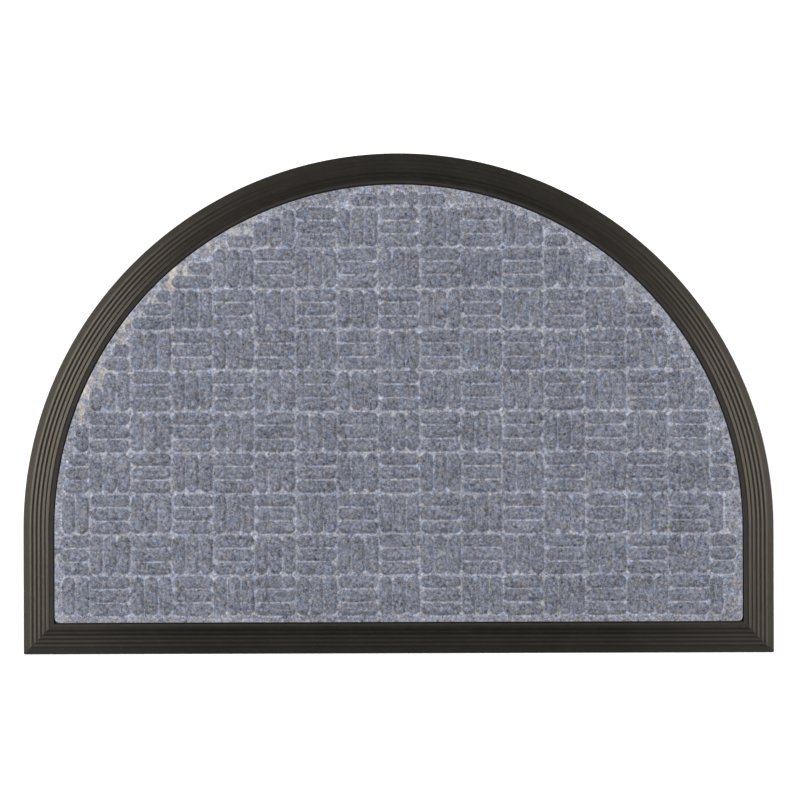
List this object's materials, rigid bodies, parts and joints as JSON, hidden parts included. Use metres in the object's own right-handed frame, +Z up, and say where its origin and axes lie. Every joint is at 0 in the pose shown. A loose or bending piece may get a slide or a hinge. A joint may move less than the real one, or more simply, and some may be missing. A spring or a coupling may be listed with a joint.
{
  "type": "half-round doormat",
  "caption": "Half-round doormat: a black moulded rubber tray with a ribbed, mitred border around a blue-grey heather carpet insert with raised parquet bars.",
  "frame": {"origin": "centre of the underside's bounding rectangle, on the floor", "axes": "+X along the straight edge, +Y towards the arched edge, +Z up out of the carpet"},
  "size_m": [0.9144, 0.6096, 0.0095],
  "materials": {
    "rubber": "matte moulded rubber with a soft sheen on the rib crests",
    "carpet": "needle-punched felt in a blue-grey heather, matte"
  },
  "bodies": {
    "root": {"rubber_tray": "rubber", "carpet_insert": "carpet"}
  },
  "joints": []
}
